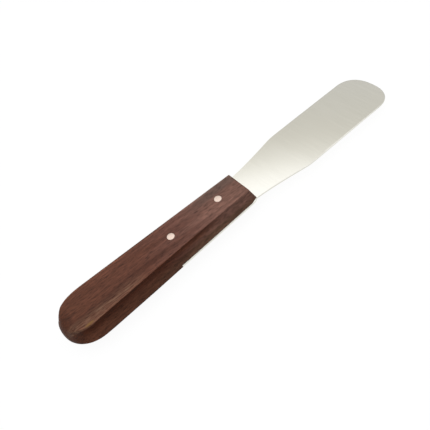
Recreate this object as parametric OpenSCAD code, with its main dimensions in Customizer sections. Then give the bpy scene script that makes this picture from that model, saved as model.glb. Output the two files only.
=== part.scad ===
// Palette knife: a broad round-tipped steel blade whose tang is let into a slot sawn in the
// front of a one-piece wooden handle and held there by two brass pins filed flush.
// +X runs to the tip, +Z up. The origin is under the middle of the knife's length, on the
// plane that the handle rests on.

/* [Blade] */
// Length of the blade in front of the handle
blade_length = 89.8; // [60:0.1:120]
// Width of the blade between its parallel edges
blade_width = 27.2; // [20:0.1:34]
// Length over which the neck widens to the full width
neck_length = 29.5; // [15:0.5:40]
// Curve of the neck's edges, where 1 is straight
neck_power = 1.35; // [1:0.05:2]
// Length of the rounded tip
tip_length = 12.2; // [6:0.1:16]
// Squareness of the tip's curve, where 2 is an ellipse
tip_power = 2.4; // [2:0.1:3]
// Thickness of the tang and of the blade's neck
blade_thickness = 1; // [0.8:0.05:1.4]
// Thickness at the tip, after the blade is ground to a taper
tip_thickness = 0.6; // [0.4:0.05:0.8]

/* [Tang] */
// Length of the tang inside the handle
tang_length = 46; // [44:0.1:60]

/* [Handle] */
// Length of the handle
handle_length = 100.3; // [90:0.1:130]
// Thickness of the handle between its flat faces
handle_thickness = 12.4; // [9:0.1:15]
// Width at the nose, at mid-thickness, before its corners are rounded
nose_width = 20.2; // [18:0.1:21]
// How far each side of the nose is rounded in, where the blade leaves it flush
nose_corner = 0.95; // [0.2:0.05:1.2]
// Length over which the nose's corners round in
nose_corner_length = 3; // [1:0.5:5]
// Width at the butt, at mid-thickness
butt_width = 27; // [24:0.1:30]
// How far the sides bow out between the nose and the butt, at mid-thickness
side_bow = 0.1; // [0:0.05:0.6]
// Width of the flat faces at the nose
nose_flat_width = 13.7; // [10:0.1:16]
// Width of the flat faces at the butt
butt_flat_width = 19.2; // [14:0.1:22]
// Length of the rounded butt
butt_round_length = 14; // [8:0.1:18]
// Squareness of the butt's curve, where 2 is an ellipse
butt_power = 2.1; // [2:0.1:3]
// Distance that the flat faces stop short of the handle's two ends
end_slope = 2; // [1:0.1:4]

/* [Pins] */
// Diameter of each pin
pin_diameter = 3.6; // [2:0.1:5]
// Distance from the nose to the front pin's centre
front_pin_setback = 14.7; // [8:0.1:16]
// Distance between the two pins' centres
pin_spacing = 27; // [18:0.1:27]

/* [Hidden] */

nose_x = handle_length - (handle_length + blade_length) / 2;
mid_z = handle_thickness / 2;
neck_width = nose_width - 2 * nose_corner;
front_pin_x = nose_x - front_pin_setback;
rear_pin_x = front_pin_x - pin_spacing;
curve_steps = 24;
side_steps = 8;
corner_steps = 4;
butt_steps = 12;
pin_facets = 48;
// Height of the thin slice that carries the outline of a flat face
face_slice = 0.01;
// Wood left upright above and below the slot, where the handle is widest
slot_lip = 0.2;
// Extra reach of a cut beyond the face that it opens
cut_over = 1;

// One corner of a superellipse from angle 0 (the side) to 90 (the end)
function corner_point(angle, reach, half_width, power) =
    [reach * pow(sin(angle), 2 / power), half_width * pow(cos(angle), 2 / power)];

// An outline from its side points at +Y, listed from the root to the end on the centre line
function mirrored(side) =
    concat(side, [for (i = [len(side) - 2:-1:0]) [side[i][0], -side[i][1]]]);

// Half-width of the blade's neck at a distance in front of the handle
function neck_half_width(distance) =
    (neck_width + (blade_width - neck_width) * pow(distance / neck_length, neck_power)) / 2;

// Half-width of one of the handle's outlines at a distance behind its nose. The outline is
// straight to within butt_round_length of its end, apart from its bow and its nose corner.
function side_half_width(distance, nose, butt, bow, corner, length) =
    let (share = distance / (length - butt_round_length))
    let (corner_share = max(0, 1 - distance / nose_corner_length))
    (nose + (butt - nose) * share) / 2 + bow * sin(180 * share) - corner * pow(corner_share, 2);

// Distances behind the nose: close together round the nose corner, then even up to reach
function side_distances(reach) =
    concat(
        [for (i = [0:corner_steps - 1]) nose_corner_length * i / corner_steps],
        [for (i = [0:side_steps])
            nose_corner_length + (reach - nose_corner_length) * i / side_steps]
    );

// One outline of the handle, from its nose at x = 0 to its rounded butt at x = -length
function handle_side(nose, butt, bow, corner, length) =
    let (round_start = length - butt_round_length)
    concat(
        [for (d = side_distances(round_start))
            [-d, side_half_width(d, nose, butt, bow, corner, length)]],
        [for (i = [1:butt_steps])
            let (p = corner_point(90 * i / butt_steps, butt_round_length, butt / 2, butt_power))
            [-round_start - p[0], p[1]]]
    );

// Side of the tang, which is flush with the handle's side at mid-thickness
function tang_side() =
    let (distances = side_distances(tang_length))
    [for (i = [len(distances) - 1:-1:0])
        let (d = distances[i])
        [-d, side_half_width(d, nose_width, butt_width, side_bow, nose_corner, handle_length)]];

// Side of the blade in front of the handle
function blade_side() =
    let (tip_start = blade_length - tip_length)
    concat(
        [for (i = [1:curve_steps])
            let (x = neck_length * i / curve_steps)
            [x, neck_half_width(x)]],
        [for (i = [0:curve_steps])
            [tip_start, 0] + corner_point(90 * i / curve_steps, tip_length, blade_width / 2, tip_power)]
    );

// The thin slice of a flat face, which stops short of both the handle's ends
module face_outline(z) {
    length = handle_length - 2 * end_slope;
    translate([nose_x - end_slope, 0, z])
        linear_extrude(face_slice, center = true)
            polygon(mirrored(handle_side(nose_flat_width, butt_flat_width, 0, 0, length)));
}

// The upright band at mid-thickness, where the handle is widest and longest
module middle_band() {
    translate([nose_x, 0, mid_z])
        linear_extrude(blade_thickness + 2 * slot_lip, center = true)
            polygon(mirrored(
                handle_side(nose_width, butt_width, side_bow, nose_corner, handle_length)
            ));
}

module pin_hole(x) {
    translate([x, 0, -cut_over])
        cylinder(h = handle_thickness + 2 * cut_over, d = pin_diameter, $fn = pin_facets);
}

module pin(x) {
    translate([x, 0, 0])
        cylinder(h = handle_thickness, d = pin_diameter, $fn = pin_facets);
}

// Side view of the blade and tang: full thickness to the end of the neck, then a taper
module blade_side_view() {
    polygon([
        [-tang_length, -blade_thickness / 2],
        [neck_length, -blade_thickness / 2],
        [blade_length, -tip_thickness / 2],
        [blade_length, tip_thickness / 2],
        [neck_length, blade_thickness / 2],
        [-tang_length, blade_thickness / 2]
    ]);
}

module blade() {
    color("gainsboro")
        difference() {
            translate([nose_x, 0, mid_z])
                intersection() {
                    linear_extrude(2 * blade_thickness, center = true)
                        polygon(mirrored(concat(tang_side(), blade_side())));
                    rotate([90, 0, 0])
                        linear_extrude(2 * blade_width, center = true)
                            blade_side_view();
                }
            pin_hole(front_pin_x);
            pin_hole(rear_pin_x);
        }
}

module tang_slot() {
    translate([nose_x - tang_length, -butt_width, mid_z - blade_thickness / 2])
        cube([tang_length + cut_over, 2 * butt_width, blade_thickness]);
}

module handle() {
    color([0.36, 0.23, 0.18])
        difference() {
            hull() {
                face_outline(face_slice / 2);
                middle_band();
                face_outline(handle_thickness - face_slice / 2);
            }
            tang_slot();
            pin_hole(front_pin_x);
            pin_hole(rear_pin_x);
        }
}

module front_pin() {
    color([0.87, 0.76, 0.64])
        pin(front_pin_x);
}

module rear_pin() {
    color([0.87, 0.76, 0.64])
        pin(rear_pin_x);
}

blade();
handle();
front_pin();
rear_pin();
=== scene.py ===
"""Palette knife: a polished steel blade pinned into a slotted rosewood handle.

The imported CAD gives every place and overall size. Each CAD node is replaced by a finer mesh
that keeps its size, with softened edges, hollow flanks, a domed butt and crowned pins.
"""
import math

import bmesh
import bpy
from mathutils import Matrix, Vector


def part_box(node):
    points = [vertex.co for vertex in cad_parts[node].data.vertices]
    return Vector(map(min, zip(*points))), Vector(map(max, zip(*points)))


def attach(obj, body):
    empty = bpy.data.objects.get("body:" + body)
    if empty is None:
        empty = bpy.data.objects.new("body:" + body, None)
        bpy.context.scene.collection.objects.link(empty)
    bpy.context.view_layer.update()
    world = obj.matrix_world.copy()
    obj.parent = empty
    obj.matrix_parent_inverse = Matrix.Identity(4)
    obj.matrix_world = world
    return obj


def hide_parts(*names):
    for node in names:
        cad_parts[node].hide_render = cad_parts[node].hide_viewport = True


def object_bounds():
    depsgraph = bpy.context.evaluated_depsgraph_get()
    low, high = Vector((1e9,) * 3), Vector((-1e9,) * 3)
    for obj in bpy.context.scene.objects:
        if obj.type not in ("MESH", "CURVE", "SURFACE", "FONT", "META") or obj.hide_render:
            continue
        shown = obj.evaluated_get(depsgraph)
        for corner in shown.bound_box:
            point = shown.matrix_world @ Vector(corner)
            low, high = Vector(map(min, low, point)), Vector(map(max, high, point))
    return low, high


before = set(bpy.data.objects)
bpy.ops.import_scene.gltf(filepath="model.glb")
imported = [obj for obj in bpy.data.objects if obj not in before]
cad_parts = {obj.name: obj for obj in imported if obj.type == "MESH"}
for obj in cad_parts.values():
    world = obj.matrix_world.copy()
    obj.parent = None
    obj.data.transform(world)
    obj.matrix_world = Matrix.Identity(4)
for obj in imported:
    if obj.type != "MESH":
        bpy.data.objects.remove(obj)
cad_low, cad_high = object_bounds()

MM = 0.001


def mm(*lengths):
    return tuple(length * MM for length in lengths)


# ---------------------------------------------------------------- sizes, from the frame

blade_low, blade_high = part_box("blade")
handle_low, handle_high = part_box("handle")
front_pin_low, front_pin_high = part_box("front_pin")
rear_pin_low, rear_pin_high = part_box("rear_pin")

NOSE_X = handle_high.x
BUTT_X = handle_low.x
TANG_END_X = blade_low.x
TIP_X = blade_high.x
MID_Z = (handle_low.z + handle_high.z) / 2
HALF_THICKNESS = (handle_high.z - handle_low.z) / 2
HANDLE_LENGTH = NOSE_X - BUTT_X
BLADE_LENGTH = TIP_X - NOSE_X
BLADE_WIDTH = blade_high.y - blade_low.y
BLADE_HALF_THICKNESS = (blade_high.z - blade_low.z) / 2
PIN_RADIUS = (front_pin_high.x - front_pin_low.x) / 2
FRONT_PIN_X = (front_pin_low.x + front_pin_high.x) / 2
REAR_PIN_X = (rear_pin_low.x + rear_pin_high.x) / 2

# ---------------------------------------------------------------- sizes, as in the CAD

NOSE_WIDTH = 20.2 * MM
NOSE_CORNER = 0.95 * MM
NOSE_CORNER_LENGTH = 3 * MM
NECK_WIDTH = NOSE_WIDTH - 2 * NOSE_CORNER
BUTT_WIDTH = 27 * MM
NOSE_FLAT_WIDTH = 13.7 * MM
BUTT_FLAT_WIDTH = 19.2 * MM
SIDE_BOW = 0.1 * MM
BUTT_ROUND = 14 * MM
BUTT_POWER = 2.1
END_SLOPE = 2 * MM
NECK_LENGTH = 29.5 * MM
NECK_POWER = 1.35
TIP_ROUND = 12.2 * MM
TIP_POWER = 2.4
TIP_HALF_THICKNESS = 0.3 * MM

# ---------------------------------------------------------------- finer shape

# Edges that turn by more degrees than this stay sharp
SHARP_ANGLE = 40
BLADE_SHARP_ANGLE = 30

FLAT_BUTT_POWER = 2.4      # squareness of the butt end of the flat faces
CREASE = 0.22 * MM         # reach of the softened edge on each side of the crease
FLANK_HOLLOW = 0.6 * MM    # how far each flank is hollowed between the crease and the side
UNDERSIDE_TUCK = 1.1 * MM  # how far each side of the underside's flat is drawn in at the nose
TUCK_REACH = 60 * MM       # how far back that drawing in runs
NOSE_EASE = 0.3 * MM       # softening round the front of the handle
NOSE_EASE_SHARES = (1.0, 0.62, 0.29, 0.08)
BUTT_DOME = 6.2 * MM       # length over which the butt's flat faces curve down
CREASE_FADE = 6 * MM       # distance from the butt over which the crease melts into a dome
SLOPE_REACH = 20 * MM      # how far back the nose's slope tilts the mesh's rings
GRIP_RINGS = 30
BUTT_RINGS = 30
BUTT_END_GAP = 0.02 * MM   # the last ring lies this far inside the butt's end
FACE_CROWN = 0.05 * MM     # crown of the handle's flat faces
EDGE_EASE = 0.16 * MM      # softened edge of the blade
SHOULDER_EASE = 5 * MM     # reach over which the blade's shoulders are rounded
NECK_EASE_STEPS = 8        # steps over which the neck leaves the tang's inset edge
FLAT_MARGIN = 0.15 * MM    # narrow strip that keeps the blade's faces flat up to their edges
TANG_INSET = 0.04 * MM     # the tang's edge lies this far inside the wood
FIT_GAP = 0.05 * MM        # dark gap round each pin and along the tang
PIN_SIDES = 96
PIN_DOME = 0.07 * MM       # height of each pin's filed crown at its centre
PIN_RIM = 0.16 * MM        # softened rim of each pin's head
CUT_OVER = 2 * MM          # extra reach of a cutter beyond the wood
SLIVER = 0.004 * MM        # corners closer together than this are joined after a cut


def smoothstep(value):
    value = min(1.0, max(0.0, value))
    return value * value * (3 - 2 * value)


def mix(a, b, share):
    return a + (b - a) * share


def taper(distance, reach, power=BUTT_POWER):
    """1 until the last reach before an end, then a superellipse down to 0 at the end."""
    if distance >= reach:
        return 1.0
    share = 1 - max(0.0, distance) / reach
    return (1 - share ** power) ** (1 / power)


def mesh_object(name, vertices, faces):
    mesh = bpy.data.meshes.new(name)
    mesh.from_pydata([tuple(v) for v in vertices], [], faces)
    mesh.validate()
    mesh.update()
    piece = bpy.data.objects.new(name, mesh)
    bpy.context.scene.collection.objects.link(piece)
    smooth(piece)
    return piece


def smooth(piece, sharp_angle=SHARP_ANGLE):
    """Smooth shading, with edges sharper than sharp_angle kept as edges."""
    piece.data.shade_smooth()
    piece.data.set_sharp_from_angle(angle=math.radians(sharp_angle))


def cut(piece, cutter):
    """Removes the cutter's volume from the piece, then deletes the cutter."""
    boolean = piece.modifiers.new("cut", "BOOLEAN")
    boolean.operation = "DIFFERENCE"
    boolean.solver = "EXACT"
    boolean.object = cutter
    apply_modifiers(piece)
    bpy.data.objects.remove(cutter)


def clean(piece):
    """Drops the slivers that cuts leave, and the flaps that are two faces back to back."""
    mesh = bmesh.new()
    mesh.from_mesh(piece.data)
    bmesh.ops.remove_doubles(mesh, verts=mesh.verts, dist=SLIVER)
    bmesh.ops.dissolve_degenerate(mesh, edges=mesh.edges, dist=SLIVER)
    many_sided = [face for face in mesh.faces if len(face.verts) > 4]
    bmesh.ops.triangulate(mesh, faces=many_sided)
    by_corners = {}
    for face in mesh.faces:
        by_corners.setdefault(frozenset(face.verts), []).append(face)
    flaps = [face for faces in by_corners.values() if len(faces) == 2 for face in faces]
    bmesh.ops.delete(mesh, geom=flaps, context="FACES")
    mesh.to_mesh(piece.data)
    mesh.free()


def apply_modifiers(piece):
    depsgraph = bpy.context.evaluated_depsgraph_get()
    mesh = bpy.data.meshes.new_from_object(piece.evaluated_get(depsgraph))
    piece.modifiers.clear()
    old = piece.data
    piece.data = mesh
    bpy.data.meshes.remove(old)
    piece.data.name = piece.name


def rings_to_mesh(name, rings, cap_first, cap_last):
    """Joins closed rings of equal length into a skin. A cap is a list of index loops."""
    count = len(rings[0])
    vertices = [point for ring in rings for point in ring]
    faces = []
    for r in range(len(rings) - 1):
        a, b = r * count, (r + 1) * count
        for i in range(count):
            j = (i + 1) % count
            faces.append((a + i, a + j, b + j, b + i))
    faces += [tuple(reversed(loop)) for loop in cap_first]
    last = (len(rings) - 1) * count
    faces += [tuple(last + i for i in loop) for loop in cap_last]
    return mesh_object(name, vertices, faces)


def circle(x, radius, z, turn=0.0):
    """A level ring centred on the middle line, turned by a share of one of its sides."""
    angles = [2 * math.pi * (i + turn) / PIN_SIDES for i in range(PIN_SIDES)]
    return [Vector((x + radius * math.cos(a), radius * math.sin(a), z)) for a in angles]


def cut_pin_holes(piece, low_z, high_z):
    """Cuts both pins' holes, with no corner of the cutter on the middle line."""
    radius = PIN_RADIUS + FIT_GAP
    loop = [list(range(PIN_SIDES))]
    for x in (FRONT_PIN_X, REAR_PIN_X):
        ends = [circle(x, radius, z, 0.5) for z in (low_z - CUT_OVER, high_z + CUT_OVER)]
        cut(piece, rings_to_mesh("hole", ends, loop, loop))


# ---------------------------------------------------------------- handle

def side_half_width(distance):
    """Half-width of the handle at mid-thickness, at a distance behind the nose."""
    straight = HANDLE_LENGTH - BUTT_ROUND
    share = min(1.0, max(0.0, distance) / straight)
    width = mix(NOSE_WIDTH, BUTT_WIDTH, share) / 2 + SIDE_BOW * math.sin(math.pi * share)
    corner = max(0.0, 1 - max(0.0, distance) / NOSE_CORNER_LENGTH)
    return (width - NOSE_CORNER * corner ** 2) * taper(HANDLE_LENGTH - distance, BUTT_ROUND)


def flat_half_width(distance):
    """Half-width of the flat faces, before the crease is softened."""
    length = HANDLE_LENGTH - END_SLOPE
    share = min(1.0, max(0.0, distance) / (length - BUTT_ROUND))
    width = mix(NOSE_FLAT_WIDTH, BUTT_FLAT_WIDTH, share)
    return width / 2 * taper(length - distance, BUTT_ROUND, FLAT_BUTT_POWER)


def quarter_section(distance, slide):
    """(x, y, z) from the side at mid-thickness up to the middle of the flat face.

    slide is 1 at the nose, where higher points lie further back, and falls to 0 behind it.
    """
    to_butt = HANDLE_LENGTH - distance
    height = HALF_THICKNESS * taper(to_butt, BUTT_DOME)
    fade = smoothstep(1 - to_butt / CREASE_FADE)
    points = []

    def place(y_share, z_share):
        """A point at shares of the way out to the flank and up to the flat face."""
        back = distance + slide * END_SLOPE * z_share
        side, flat = side_half_width(back), flat_half_width(back)
        hollow = FLANK_HOLLOW * 4 * z_share * (1 - z_share) * min(1, side / NOSE_WIDTH * 2)
        flank = mix(side, flat, z_share) - hollow
        points.append([NOSE_X - back, flank * y_share, height * z_share])

    ease_z = CREASE / HALF_THICKNESS
    ease_y = min(CREASE / max(flat_half_width(distance), CREASE), 0.5)
    # The plain flank and flat end a little before the softened crease begins
    flank_top, flat_edge = 1 - 1.5 * ease_z, 1 - 1.5 * ease_y
    flank_steps, crease_steps, flat_steps = 12, 4, 8
    for i in range(flank_steps + 1):
        place(1, flank_top * i / flank_steps)
    for i in range(crease_steps + 1):
        t = i / crease_steps
        place(1 - ease_y * t * t, 1 - ease_z * (1 - t) ** 2)
    for i in range(flat_steps + 1):
        place(flat_edge * (1 - i / flat_steps), 1)

    side = side_half_width(distance)
    for i, point in enumerate(points):
        angle = math.pi / 2 * i / (len(points) - 1)
        point[1] = mix(point[1], side * math.cos(angle), fade)
        point[2] = mix(point[2], height * math.sin(angle), fade)
        drop = FACE_CROWN * min(1, abs(point[1]) / (BUTT_FLAT_WIDTH / 2)) ** 2
        point[2] -= drop * point[2] / HALF_THICKNESS
    return points


def handle_ring(distance, slide, inset=0.0):
    """A closed ring round the handle: right side, top, left side, underside."""
    quarter = quarter_section(distance, slide)
    widest = quarter[0][1]
    tallest = quarter[-1][2]
    y_scale = 1 - inset / widest
    z_scale = 1 - inset / tallest
    upper_right = [(x, -y * y_scale, z * z_scale) for x, y, z in quarter]
    upper_left = [(x, -y, z) for x, y, z in reversed(upper_right[:-1])]
    upper = upper_right + upper_left
    tuck = UNDERSIDE_TUCK * max(0.0, 1 - distance / TUCK_REACH) / HALF_THICKNESS / widest
    lower = [(x, y * (1 - tuck * z), -z) for x, y, z in reversed(upper[1:-1])]
    return [Vector((x, y, z + MID_Z)) for x, y, z in upper + lower], len(upper)


def handle_distances():
    """Where the rings lie, behind the nose: even along the grip, closer round the butt."""
    grip_end = HANDLE_LENGTH - BUTT_ROUND
    grip = [NOSE_EASE + (grip_end - NOSE_EASE) * i / GRIP_RINGS for i in range(GRIP_RINGS)]
    butt = [
        grip_end + BUTT_ROUND * math.sin(math.pi / 2 * i / BUTT_RINGS) ** (2 / BUTT_POWER)
        for i in range(BUTT_RINGS)
    ]
    return grip + butt + [HANDLE_LENGTH - BUTT_END_GAP]


def build_handle():
    rings = []
    for share in NOSE_EASE_SHARES:
        depth = NOSE_EASE * (1 - share)
        inset = NOSE_EASE * (1 - math.sqrt(1 - share ** 2))
        ring, upper_count = handle_ring(depth, 1.0, inset)
        rings.append(ring)
    for distance in handle_distances():
        slide = 1 - smoothstep(distance / SLOPE_REACH)
        rings.append(handle_ring(distance, slide)[0])
    count = len(rings[0])
    upper_cap = list(range(upper_count))
    lower_cap = list(range(upper_count - 1, count)) + [0]
    butt_cap = list(range(count))
    handle = rings_to_mesh("handle_wood", rings, [upper_cap, lower_cap], [butt_cap])
    slot_half = BLADE_HALF_THICKNESS + FIT_GAP
    reach = BUTT_WIDTH
    section = [(-reach, -slot_half), (reach, -slot_half), (reach, slot_half), (-reach, slot_half)]
    ends = [
        [Vector((x, y, MID_Z + z)) for y, z in section]
        for x in (TANG_END_X - FIT_GAP, NOSE_X + reach)
    ]
    cut(handle, rings_to_mesh("slot", ends, [[0, 1, 2, 3]], [[0, 1, 2, 3]]))
    cut_pin_holes(handle, handle_low.z, handle_high.z)
    clean(handle)
    smooth(handle)
    return handle


# ---------------------------------------------------------------- blade

def neck_half_width(distance):
    return (NECK_WIDTH + (BLADE_WIDTH - NECK_WIDTH) * (distance / NECK_LENGTH) ** NECK_POWER) / 2


def blade_outline():
    """(x, half-width) from the tang's end to the tip."""
    tang_length = NOSE_X - TANG_END_X
    steps = 24
    points = []
    for i in range(steps):
        distance = tang_length * (1 - i / steps)
        points.append((NOSE_X - distance, side_half_width(distance) - TANG_INSET))
    neck_steps = 40
    for i in range(neck_steps):
        distance = NECK_LENGTH * i / neck_steps
        ease = TANG_INSET * (1 - smoothstep(i / NECK_EASE_STEPS))
        points.append((NOSE_X + distance, neck_half_width(distance) - ease))
    tip_start = BLADE_LENGTH - TIP_ROUND
    straight_steps = 30
    for i in range(straight_steps):
        share = i / straight_steps
        points.append((NOSE_X + mix(NECK_LENGTH, tip_start, share), BLADE_WIDTH / 2))
    tip_steps = 48
    for i in range(tip_steps + 1):
        angle = math.pi / 2 * i / tip_steps
        reach = TIP_ROUND * math.sin(angle) ** (2 / TIP_POWER)
        half = BLADE_WIDTH / 2 * max(0.0, math.cos(angle)) ** (2 / TIP_POWER)
        points.append((NOSE_X + tip_start + reach, half))
    return points


def ease_shoulder(points, reach):
    """Takes a sixth of the kink off the outline at the shoulders, and less beside them."""
    shoulder = NOSE_X + NECK_LENGTH
    eased = []
    for x, half in points:
        near = max(0.0, 1 - abs(x - shoulder) / reach)
        kink = neck_half_width(NECK_LENGTH) - neck_half_width(NECK_LENGTH - reach)
        eased.append((x, half - kink / 6 * near * near))
    return eased


def blade_half_thickness(x):
    share = max(0.0, (x - NOSE_X - NECK_LENGTH) / (BLADE_LENGTH - NECK_LENGTH))
    return mix(BLADE_HALF_THICKNESS, TIP_HALF_THICKNESS, share)


def inset_outline(points, inset):
    """Moves each outline point inward along its own normal."""
    moved = []
    for i, (x, half) in enumerate(points):
        before = points[max(0, i - 1)]
        after = points[min(len(points) - 1, i + 1)]
        run, rise = after[0] - before[0], after[1] - before[1]
        length = math.hypot(run, rise) or 1.0
        if i == len(points) - 1:
            run, rise, length = 0.0, -1.0, 1.0
        if i == 0:
            run, rise, length = 1.0, 0.0, 1.0
        moved.append((x + rise / length * inset, half - run / length * inset))
    last_x = moved[-1][0]
    return [(min(x, last_x), max(0.0, half)) for x, half in moved]


def blade_levels(outline):
    """(outline, height share) from the upper flat round the eased edge to the lower flat."""
    flat = inset_outline(outline, EDGE_EASE + FLAT_MARGIN)
    levels = [(flat, 1.0)]
    edge_steps = 8
    for i in range(edge_steps + 1):
        turn = math.pi * i / edge_steps
        levels.append((inset_outline(outline, EDGE_EASE * (1 - math.sin(turn))), math.cos(turn)))
    return levels + [(flat, -1.0)]


def build_blade():
    """The flats are strips across the blade; the levels wrap round its edge between them."""
    outline = ease_shoulder(blade_outline(), SHOULDER_EASE)
    levels = blade_levels(outline)
    last = len(outline) - 1
    bottom = len(levels) - 1
    across = 10
    vertices = []
    faces = []
    index = {}

    def vertex(i, level, share):
        """Point i along the outline, at a share from 1 (the +Y edge) to -1 (the -Y edge)."""
        x, half = levels[level][0][i]
        if i == last:
            share = 0
        key = (i, level, share)
        if key not in index:
            index[key] = len(vertices)
            z = blade_half_thickness(x) * levels[level][1]
            vertices.append((x, half * share, MID_Z + z))
        return index[key]

    def add_face(corners, flip=False):
        corners = [c for k, c in enumerate(corners) if c != corners[k - 1]]
        if len(corners) >= 3:
            faces.append(tuple(reversed(corners)) if flip else tuple(corners))

    shares = [1 - 2 * j / across for j in range(across + 1)]
    for i in range(last):
        for a, b in zip(shares, shares[1:]):
            for level in (0, bottom):
                strip = [
                    vertex(i, level, a),
                    vertex(i, level, b),
                    vertex(i + 1, level, b),
                    vertex(i + 1, level, a),
                ]
                add_face(strip, flip=level == bottom)
        for level in range(bottom):
            for side in (1, -1):
                wall = [
                    vertex(i, level, side),
                    vertex(i + 1, level, side),
                    vertex(i + 1, level + 1, side),
                    vertex(i, level + 1, side),
                ]
                add_face(wall, flip=side == -1)
    between = range(1, bottom)
    tang_end = [vertex(0, 0, share) for share in shares]
    tang_end += [vertex(0, level, -1) for level in between]
    tang_end += [vertex(0, bottom, share) for share in reversed(shares)]
    tang_end += [vertex(0, level, 1) for level in reversed(between)]
    faces.append(tuple(reversed(tang_end)))
    blade = mesh_object("blade_steel", vertices, faces)
    cut_pin_holes(blade, blade_low.z, blade_high.z)
    clean(blade)
    smooth(blade, BLADE_SHARP_ANGLE)
    return blade


# ---------------------------------------------------------------- pins

def build_pin(name, x):
    """A brass pin filed flush: a faint crown, an eased rim and a straight shank."""
    profile = []
    crown_steps = 6
    for i in range(crown_steps):
        share = (i + 1) / crown_steps
        radius = (PIN_RADIUS - PIN_RIM) * share
        profile.append((radius, HALF_THICKNESS + PIN_DOME * (1 - share ** 2)))
    rim_steps = 3
    for i in range(1, rim_steps + 1):
        turn = math.pi / 2 * i / rim_steps
        radius = PIN_RADIUS - PIN_RIM * (1 - math.sin(turn))
        profile.append((radius, HALF_THICKNESS - PIN_RIM * (1 - math.cos(turn))))
    profile = profile + [(radius, -z) for radius, z in reversed(profile)]
    rings = [circle(x, radius, MID_Z + z) for radius, z in reversed(profile)]
    loop = [list(range(PIN_SIDES))]
    return rings_to_mesh(name, rings, loop, loop)


# ---------------------------------------------------------------- materials

# The wood's tone from the butt to the nose
WOOD_TONES = [
    (0.00, (0.210, 0.075, 0.040)),
    (0.42, (0.224, 0.083, 0.051)),
    (0.60, (0.268, 0.115, 0.083)),
    (0.78, (0.368, 0.181, 0.135)),
    (1.00, (0.330, 0.167, 0.124)),
]
GRAIN_SLOPE = 0.06         # the grain runs this far sideways for each step along the handle
GRAIN_WANDER = 1.6 * MM    # and drifts this far from side to side
PATCHINESS = 0.5           # how far the broad noise shifts the place on the tone ramp

# Noises that follow the grain, in features a metre along, across and through the handle
BROAD = {"per_metre": (14, 170, 170), "detail": 2, "distortion": 0.3, "offset": 0.4}
STREAK = {"per_metre": (48, 950, 950), "detail": 5, "roughness": 0.7, "offset": 3.1}
FIBRE = {"per_metre": (300, 2700, 2700), "detail": 3, "offset": 7.7}
PORES = {"per_metre": (380, 2900, 2900), "detail": 1, "roughness": 0.4, "offset": 1.3}

# How much each noise darkens or lightens the wood
BROAD_SHADES = [(0.32, 0.76), (0.5, 0.89), (0.68, 1.02)]
STREAK_SHADES = [(0.3, 0.60), (0.5, 0.84), (0.7, 1.06)]
FIBRE_SHADES = [(0.3, 0.62), (0.7, 1.12)]
PIT_SHADES = [(0.32, 0.54), (0.42, 1.0)]

WOOD_ROUGHNESS = [(0.2, 0.42), (0.8, 0.60)]
WOOD_SPECULAR = 0.14
PIT_RELIEF = 0.8
FIBRE_RELIEF = 0.3

# The line beside the crease that the painted highlight and shade and the sapwood follow
CREASE_LINE_AT_NOSE = 7.05 * MM   # its distance from the middle at the nose
CREASE_LINE_AT_BUTT = 9.4 * MM    # and where the butt starts to round
CREASE_LINE_WAIST = 0.35 * MM     # how far it runs inside a straight line at mid-grip
CREASE_LINE_RUN = HANDLE_LENGTH - END_SLOPE - BUTT_ROUND
CURL_X = -81.5 * MM        # behind this it curls in round the butt
CURL = 34.0                # by this much times the square of the distance in metres

# Zones of the wood's colour and of the painted highlight and shade. A band lists where it
# starts, is full, is still full and has ended; a pair lists where it starts and is full. OUT
# is measured outward from the crease line, RUN along X and SIDE along Y.
GRIP_RUN = mm(-91, -87)
# Painted highlight: a pale line on the top face along the crease, weaker at mid-grip
PAINTED_CREASE_HIGHLIGHT = (1.45, 1.45, 1.45)
PAINTED_CREASE_HIGHLIGHT_OUT = mm(-1.3, -0.3, 0.0, 0.15)
WEAKER_HIGHLIGHT_RUN = mm(-62, -52, -30, 30)
WEAKER_HIGHLIGHT = 0.75
# Painted shade: darker just below the crease, strongest towards the butt
PAINTED_CREASE_SHADE = (0.50, 0.33, 0.18)
PAINTED_CREASE_SHADE_OUT = mm(0.05, 0.25, 0.3, 1.9)
PAINTED_CREASE_SHADE_RUN = mm(-8, -30)
# Painted shade: darker down the lower flank, strongest towards the nose
PAINTED_FLANK_SHADE = (0.57, 0.60, 0.50)
PAINTED_FLANK_SHADE_OUT = mm(1.0, 2.4)
PAINTED_FLANK_SHADE_RUN = mm(-110, -30)
NOSE_STAIN = (0.80, 0.95, 1.0)
NOSE_STAIN_RUN = mm(-28, -10)
NOSE_STAIN_SIDE = mm(1, 4)
# Darker round the butt's end, on its near half
BUTT_END_DARKENING = (0.70, 0.67, 0.65)
BUTT_END_DARKENING_RUN = mm(-87, -89.5)
BUTT_END_DARKENING_SIDE = mm(5, 2)
SAPWOOD = (0.23, 0.125, 0.078)
SAPWOOD_SHARE = 0.5
SAPWOOD_RUN = mm(-52, -66)
SAPWOOD_SIDE = mm(-2.5, -6)
SAPWOOD_OUT = mm(0.3, 0)
SAPWOOD_STREAKS = (0.46, 0.62)
SAPWOOD_FIBRES = (0.42, 0.60)
DARK_BAND = (0.74, 0.71, 0.70)
DARK_BAND_RUN = mm(-33, -48)
DARK_BAND_SIDE = mm(-6.4, -4.9, -3.4, -1.6)
OCHRE = (0.235, 0.12, 0.042)
FLECK_CENTRE = (-83.8 * MM, -8.6 * MM, 2 * MID_Z)
FLECK_SIZE = mm(2.9, 0.75, 0.9)

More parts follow.
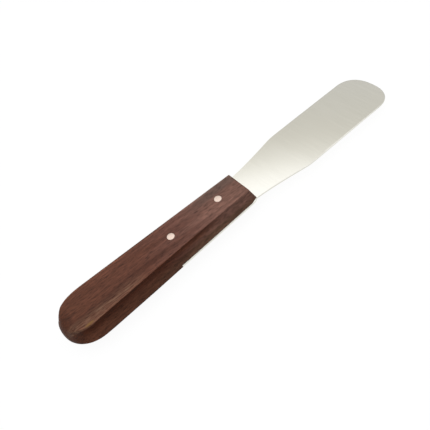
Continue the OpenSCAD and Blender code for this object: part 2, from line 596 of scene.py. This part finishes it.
BRUSHING = {"per_metre": (2400, 60, 2400), "detail": 2}
HAZE = {"per_metre": (45, 30, 45), "detail": 2, "offset": 5.0}
STEEL_TONES = [(0.25, (0.78, 0.765, 0.69)), (0.75, (0.82, 0.805, 0.73))]
STEEL_ROUGHNESS = [(0.3, 0.09), (0.7, 0.13)]
FILING = {"per_metre": (900, 6500, 900), "detail": 2}
BRASS_TONES = [(0.3, (0.78, 0.61, 0.50)), (0.7, (0.92, 0.75, 0.64))]
BRASS_ROUGHNESS = [(0.3, 0.30), (0.7, 0.42)]


def new_material(name):
    material = bpy.data.materials.new(name)
    material.use_nodes = True
    material.node_tree.nodes.clear()
    return material, material.node_tree


def add(tree, kind, inputs=None, **settings):
    """A shader node with its settings and inputs; an input may be a value or a socket."""
    node = tree.nodes.new("ShaderNode" + kind)
    for key, value in settings.items():
        setattr(node, key, value)
    for key, value in (inputs or {}).items():
        if isinstance(value, bpy.types.NodeSocket):
            tree.links.new(value, node.inputs[key])
        else:
            node.inputs[key].default_value = value
    return node


def ramp(tree, factor, stops):
    """A colour ramp from (position, (r, g, b)) or (position, grey) stops."""
    node = add(tree, "ValToRGB", {"Fac": factor})
    elements = node.color_ramp.elements
    while len(elements) < len(stops):
        elements.new(0.5)
    for element, (position, colour) in zip(elements, stops):
        element.position = position
        rgb = colour if isinstance(colour, tuple) else (colour,) * 3
        element.color = (*rgb, 1.0)
    return node.outputs["Color"]


def math_node(tree, operation, a, b=0.0):
    node = add(tree, "Math", operation=operation)
    for i, value in enumerate((a, b)):
        if isinstance(value, bpy.types.NodeSocket):
            tree.links.new(value, node.inputs[i])
        else:
            node.inputs[i].default_value = value
    return node.outputs[0]


def mix_colours(tree, a, b, share, blend_type="MIX"):
    """Colour a turned into colour b, or into a times b, by share."""
    node = add(tree, "Mix", {"Factor": share}, data_type="RGBA", blend_type=blend_type)
    for key, value in (("A", a), ("B", b)):
        socket = [s for s in node.inputs if s.name == key and s.type == "RGBA"][0]
        if isinstance(value, bpy.types.NodeSocket):
            tree.links.new(value, socket)
        else:
            socket.default_value = (*value, 1.0)
    return [s for s in node.outputs if s.type == "RGBA"][0]


def multiply(tree, a, b):
    return mix_colours(tree, a, b, 1.0, "MULTIPLY")


def product(tree, first, *others):
    """The product of two or more values."""
    for other in others:
        first = math_node(tree, "MULTIPLY", first, other)
    return first


def tint_where(tree, colour, tint, share):
    """The colour, multiplied by the tint wherever share is 1."""
    return mix_colours(tree, colour, multiply(tree, colour, tint), share)


def finish_surface(tree, colour, rough, height, strength, distance, **inputs):
    """A principled shader with a bump, joined to the material's output."""
    bump = add(tree, "Bump", {"Height": height, "Strength": strength, "Distance": distance})
    inputs = {key.replace("_", " "): value for key, value in inputs.items()}
    inputs.update({"Base Color": colour, "Roughness": rough, "Normal": bump.outputs["Normal"]})
    shader = add(tree, "BsdfPrincipled", inputs)
    add(tree, "OutputMaterial", {"Surface": shader.outputs["BSDF"]})


def add_shaders(tree, a, b):
    node = add(tree, "AddShader")
    for i, shader in enumerate((a, b)):
        tree.links.new(shader.outputs[0], node.inputs[i])
    return node


def mix_shaders(tree, share, a, b):
    node = add(tree, "MixShader", {"Fac": share})
    for i, shader in enumerate((a, b)):
        tree.links.new(shader.outputs[0], node.inputs[i + 1])
    return node


def stretched_noise(
    tree, place, per_metre, detail=3.0, roughness=0.55, distortion=0.0, offset=0.0
):
    """Noise with its own frequency along X, Y and Z, in features a metre."""
    shift = (offset, offset, offset)
    mapping = add(tree, "Mapping", {"Vector": place, "Scale": per_metre, "Location": shift})
    noise = add(
        tree,
        "TexNoise",
        {
            "Vector": mapping.outputs["Vector"],
            "Scale": 1.0,
            "Detail": detail,
            "Roughness": roughness,
            "Distortion": distortion,
        },
    )
    return noise.outputs["Fac"]


def ranged(tree, value, low, high):
    """0 at low, 1 at high, eased between them; low may be the larger."""
    node = add(tree, "MapRange", {"Value": value}, interpolation_type="SMOOTHSTEP")
    if low > high:
        low, high = high, low
        node.inputs["To Min"].default_value = 1.0
        node.inputs["To Max"].default_value = 0.0
    node.inputs["From Min"].default_value = low
    node.inputs["From Max"].default_value = high
    return node.outputs["Result"]


def band(tree, value, stops):
    """0 outside the first and last stops, 1 between the middle two, eased between them."""
    rise = ranged(tree, value, stops[0], stops[1])
    fall = ranged(tree, value, stops[3], stops[2])
    return math_node(tree, "MULTIPLY", rise, fall)


def grain_place(tree, place, axes):
    """Coordinates whose X lines follow the grain, which drifts and runs slightly aslant."""
    drift = stretched_noise(tree, place, (22, 45, 45), detail=1)
    wander = math_node(tree, "MULTIPLY", math_node(tree, "SUBTRACT", drift, 0.5), GRAIN_WANDER)
    aslant = math_node(tree, "MULTIPLY", axes.outputs["X"], GRAIN_SLOPE)
    across = math_node(tree, "ADD", axes.outputs["Y"], math_node(tree, "ADD", aslant, wander))
    along = {"X": axes.outputs["X"], "Y": across, "Z": axes.outputs["Z"]}
    return add(tree, "CombineXYZ", along).outputs["Vector"]


def crease_line_distance(tree, x, y):
    """How far a point lies outside the crease line, measured across the handle."""
    behind = math_node(tree, "SUBTRACT", NOSE_X - END_SLOPE, x)
    along = math_node(tree, "DIVIDE", behind, CREASE_LINE_RUN)
    spread = math_node(tree, "MULTIPLY", along, CREASE_LINE_AT_BUTT - CREASE_LINE_AT_NOSE)
    mid_grip = math_node(tree, "SINE", math_node(tree, "MULTIPLY", along, math.pi))
    waist = math_node(tree, "MULTIPLY", mid_grip, CREASE_LINE_WAIST)
    past_curl = math_node(tree, "MAXIMUM", math_node(tree, "SUBTRACT", CURL_X, x), 0.0)
    curl = math_node(tree, "MULTIPLY", math_node(tree, "POWER", past_curl, 2.0), CURL)
    drawn_in = math_node(tree, "ADD", waist, curl)
    outward = math_node(tree, "ADD", drawn_in, math_node(tree, "ABSOLUTE", y))
    outward = math_node(tree, "SUBTRACT", outward, spread)
    return math_node(tree, "SUBTRACT", outward, CREASE_LINE_AT_NOSE)


def crease_tints(tree, colour, x, y, outward):
    """Painted highlight and shade along the crease, painted flank shade, and tints at both ends.
    """
    grip = ranged(tree, x, *GRIP_RUN)
    # Painted highlight: a pale line on the top face along the crease, weaker at mid-grip
    highlight_cut = math_node(tree, "MULTIPLY", band(tree, x, WEAKER_HIGHLIGHT_RUN), WEAKER_HIGHLIGHT)
    highlight_kept = math_node(tree, "SUBTRACT", 1.0, highlight_cut)
    crease_highlight = product(tree, band(tree, outward, PAINTED_CREASE_HIGHLIGHT_OUT), highlight_kept, grip)
    colour = tint_where(tree, colour, PAINTED_CREASE_HIGHLIGHT, crease_highlight)
    # Painted shade just below the crease
    under_crease_shade = band(tree, outward, PAINTED_CREASE_SHADE_OUT)
    under_crease_shade = product(tree, under_crease_shade, ranged(tree, x, *PAINTED_CREASE_SHADE_RUN), grip)
    colour = tint_where(tree, colour, PAINTED_CREASE_SHADE, under_crease_shade)
    # Painted shade down the lower flank
    low_flank_shade = ranged(tree, outward, *PAINTED_FLANK_SHADE_OUT)
    low_flank_shade = product(tree, low_flank_shade, ranged(tree, x, *PAINTED_FLANK_SHADE_RUN), grip)
    colour = tint_where(tree, colour, PAINTED_FLANK_SHADE, low_flank_shade)
    far_nose = product(tree, ranged(tree, x, *NOSE_STAIN_RUN), ranged(tree, y, *NOSE_STAIN_SIDE))
    colour = tint_where(tree, colour, NOSE_STAIN, far_nose)
    # Darker round the butt's end, on its near half
    butt_end = product(tree, ranged(tree, x, *BUTT_END_DARKENING_RUN), ranged(tree, y, *BUTT_END_DARKENING_SIDE))
    return tint_where(tree, colour, BUTT_END_DARKENING, butt_end)


def butt_figure(tree, colour, place, x, y, outward, streak, fibre):
    """Pale streaks, a dark band and an ochre fleck in the rear half of the near side."""
    streaks = math_node(
        tree,
        "ADD",
        ranged(tree, streak, *SAPWOOD_STREAKS),
        ranged(tree, fibre, *SAPWOOD_FIBRES),
    )
    on_top = ranged(tree, outward, *SAPWOOD_OUT)
    rear = ranged(tree, x, *SAPWOOD_RUN)
    near_side = ranged(tree, y, *SAPWOOD_SIDE)
    sapwood = product(tree, near_side, rear, on_top, streaks, SAPWOOD_SHARE)
    colour = mix_colours(tree, colour, SAPWOOD, sapwood)
    dark = band(tree, y, DARK_BAND_SIDE)
    dark = product(tree, dark, ranged(tree, x, *DARK_BAND_RUN), ranged(tree, x, *GRIP_RUN))
    colour = tint_where(tree, colour, DARK_BAND, dark)
    in_fleck = add(
        tree,
        "Mapping",
        {"Vector": place, "Location": FLECK_CENTRE, "Scale": FLECK_SIZE},
        vector_type="TEXTURE",
    )
    fleck = add(
        tree, "TexGradient", {"Vector": in_fleck.outputs[0]}, gradient_type="SPHERICAL"
    )
    return mix_colours(tree, colour, OCHRE, ranged(tree, fleck.outputs["Fac"], 0.0, 0.6))


def rosewood():
    """Red-brown at the butt, paler and cooler towards the nose, with fine straight grain."""
    material, tree = new_material("rosewood")
    place = add(tree, "TexCoord").outputs["Object"]
    axes = add(tree, "SeparateXYZ", {"Vector": place})
    x, y = axes.outputs["X"], axes.outputs["Y"]
    grain = grain_place(tree, place, axes)
    broad = stretched_noise(tree, grain, **BROAD)
    streak = stretched_noise(tree, grain, **STREAK)
    fibre = stretched_noise(tree, grain, **FIBRE)
    pores = stretched_noise(tree, grain, **PORES)

    along = add(tree, "MapRange", {"Value": x, "From Min": BUTT_X, "From Max": NOSE_X})
    patchy = math_node(tree, "MULTIPLY", math_node(tree, "SUBTRACT", broad, 0.5), PATCHINESS)
    tone_place = math_node(tree, "ADD", along.outputs["Result"], patchy)
    pits = ramp(tree, pores, PIT_SHADES)
    colour = ramp(tree, tone_place, WOOD_TONES)
    colour = multiply(tree, colour, ramp(tree, broad, BROAD_SHADES))
    colour = multiply(tree, colour, ramp(tree, streak, STREAK_SHADES))
    colour = multiply(tree, colour, ramp(tree, fibre, FIBRE_SHADES))
    colour = multiply(tree, colour, pits)
    outward = crease_line_distance(tree, x, y)
    colour = crease_tints(tree, colour, x, y, outward)
    colour = butt_figure(tree, colour, place, x, y, outward, streak, fibre)

    rough = ramp(tree, fibre, WOOD_ROUGHNESS)
    pit_height = math_node(tree, "MULTIPLY", pits, PIT_RELIEF)
    fibre_height = math_node(tree, "MULTIPLY", fibre, FIBRE_RELIEF)
    height = math_node(tree, "ADD", pit_height, fibre_height)
    finish_surface(
        tree, colour, rough, height, 0.3, 0.05 * MM, Specular_IOR_Level=WOOD_SPECULAR
    )
    return material


def blade_steel():
    """Polished steel with faint brushing across the blade and a slight haze."""
    material, tree = new_material("polished_steel")
    place = add(tree, "TexCoord").outputs["Object"]
    brushing = stretched_noise(tree, place, **BRUSHING)
    tone = ramp(tree, brushing, STEEL_TONES)
    rough = ramp(tree, stretched_noise(tree, place, **HAZE), STEEL_ROUGHNESS)
    finish_surface(tree, tone, rough, brushing, 0.05, 0.01 * MM, Metallic=1.0)
    return material


def pin_brass():
    """Pale brass with fine file marks along the knife."""
    material, tree = new_material("filed_brass")
    place = add(tree, "TexCoord").outputs["Object"]
    filing = stretched_noise(tree, place, **FILING)
    tone = ramp(tree, filing, BRASS_TONES)
    rough = ramp(tree, filing, BRASS_ROUGHNESS)
    finish_surface(tree, tone, rough, filing, 0.15, 0.02 * MM, Metallic=0.85)
    return material


# ---------------------------------------------------------------- stage, light and camera

FLOOR_HALF_WIDTH = 3.0
FLOOR_GAP = 0.1 * MM       # room for the pins' lower crowns
FLOOR_GLOW = 0.94          # what the camera sees, so that the table reads as white
FLOOR_SHADOW = 0.08        # share of real light on it, which shows a faint shadow
FLOOR_BOUNCE = 0.25        # grey of the light that it throws back onto the wood
FLOOR_MIRRORED = 0.92      # how bright it looks in the steel
SKY_STRENGTH = 2.0

# Brightness of the dome by the height of a direction, as steel mirrors it
MIRRORED_SKY = [
    (0.000, (0.080, 0.080, 0.082)),
    (0.300, (0.200, 0.201, 0.204)),
    (0.500, (0.305, 0.306, 0.310)),
    (0.580, (0.335, 0.336, 0.340)),
    (0.620, (0.346, 0.344, 0.340)),
    (0.665, (0.353, 0.349, 0.336)),
    (0.685, (0.366, 0.361, 0.346)),
    (0.700, (0.390, 0.385, 0.370)),
    (0.715, (0.428, 0.424, 0.412)),
    (0.732, (0.497, 0.494, 0.485)),
    (0.742, (0.562, 0.560, 0.560)),
    (0.752, (0.645, 0.646, 0.660)),
    (0.800, (0.690, 0.695, 0.730)),
    (0.860, (0.690, 0.695, 0.730)),
    (0.950, (0.450, 0.450, 0.460)),
]
# and as it lights wood and the table
SOFT_SKY = [(0.0, 0.02), (0.45, 0.084), (0.58, 0.335), (0.685, 0.366), (0.732, 0.497), (0.8, 0.7)]

CAMERA_AIM = Vector((-14.05 * MM, -1.54 * MM, MID_Z))
CAMERA_AZIMUTH = math.radians(-24.8)
CAMERA_ELEVATION = math.radians(51.39)
CAMERA_ROLL = math.radians(19.23)
CAMERA_DISTANCE = 207.65 * MM
CAMERA_LENS = 38.6         # in millimetres, on a sensor this wide
CAMERA_SENSOR = 36.0


def grey(level):
    return (level, level, level, 1.0)


def build_floor():
    """A white table: even white to the camera with a faint soft shadow, and bright in steel."""
    half = FLOOR_HALF_WIDTH
    corners = [(-half, -half, 0), (half, -half, 0), (half, half, 0), (-half, half, 0)]
    floor = mesh_object("floor", corners, [(0, 1, 2, 3)])
    floor.location.z = cad_low.z - FLOOR_GAP
    material, tree = new_material("white_table")
    ray = add(tree, "LightPath")
    glow = add(tree, "Emission", {"Color": grey(1.0), "Strength": FLOOR_GLOW})
    shadow = add(tree, "BsdfDiffuse", {"Color": grey(FLOOR_SHADOW)})
    bounce = add(tree, "BsdfDiffuse", {"Color": grey(FLOOR_BOUNCE)})
    mirrored = add(tree, "Emission", {"Color": grey(1.0), "Strength": FLOOR_MIRRORED})
    lighting = mix_shaders(tree, ray.outputs["Is Glossy Ray"], bounce, mirrored)
    shown = add_shaders(tree, glow, shadow)
    surface = mix_shaders(tree, ray.outputs["Is Camera Ray"], lighting, shown)
    add(tree, "OutputMaterial", {"Surface": surface.outputs[0]})
    floor.data.materials.append(material)
    return floor


def build_sky():
    """A soft overhead dome, bright above 45 degrees, and white where the camera sees it."""
    world = bpy.data.worlds.new("studio")
    bpy.context.scene.world = world
    world.use_nodes = True
    tree = world.node_tree
    tree.nodes.clear()
    direction = add(tree, "TexCoord").outputs["Generated"]
    height = add(tree, "SeparateXYZ", {"Vector": direction}).outputs["Z"]
    mirrored, soft = ramp(tree, height, MIRRORED_SKY), ramp(tree, height, SOFT_SKY)
    lit = add(tree, "Background", {"Color": soft, "Strength": SKY_STRENGTH})
    reflected = add(tree, "Background", {"Color": mirrored, "Strength": SKY_STRENGTH})
    wall = add(tree, "Background", {"Color": grey(1.0), "Strength": 1.0})
    ray = add(tree, "LightPath")
    dome = mix_shaders(tree, ray.outputs["Is Glossy Ray"], lit, reflected)
    pick = mix_shaders(tree, ray.outputs["Is Camera Ray"], dome, wall)
    add(tree, "OutputWorld", {"Surface": pick.outputs[0]})


def build_camera():
    """A camera close above the handle's near side, tilted so the knife runs up to the right."""
    back = Vector((
        math.sin(CAMERA_AZIMUTH) * math.cos(CAMERA_ELEVATION),
        -math.cos(CAMERA_AZIMUTH) * math.cos(CAMERA_ELEVATION),
        math.sin(CAMERA_ELEVATION),
    ))
    data = bpy.data.cameras.new("camera")
    data.sensor_width = CAMERA_SENSOR
    data.lens = CAMERA_LENS
    data.clip_start = 0.01
    camera = bpy.data.objects.new("camera", data)
    bpy.context.scene.collection.objects.link(camera)
    place = Matrix.Translation(CAMERA_AIM + back * CAMERA_DISTANCE)
    turn = (-back).to_track_quat("-Z", "Y").to_matrix().to_4x4()
    camera.matrix_world = place @ turn @ Matrix.Rotation(-CAMERA_ROLL, 4, "Z")
    bpy.context.scene.camera = camera


# ---------------------------------------------------------------- build

def fit_piece(piece, node, material):
    piece.data.materials.clear()
    piece.data.materials.append(material)
    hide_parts(node)
    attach(piece, "root")


brass = pin_brass()
fit_piece(build_handle(), "handle", rosewood())
fit_piece(build_blade(), "blade", blade_steel())
fit_piece(build_pin("front_brass_pin", FRONT_PIN_X), "front_pin", brass)
fit_piece(build_pin("rear_brass_pin", REAR_PIN_X), "rear_pin", brass)

build_floor()
build_sky()
build_camera()
bpy.context.scene.view_settings.view_transform = "Standard"
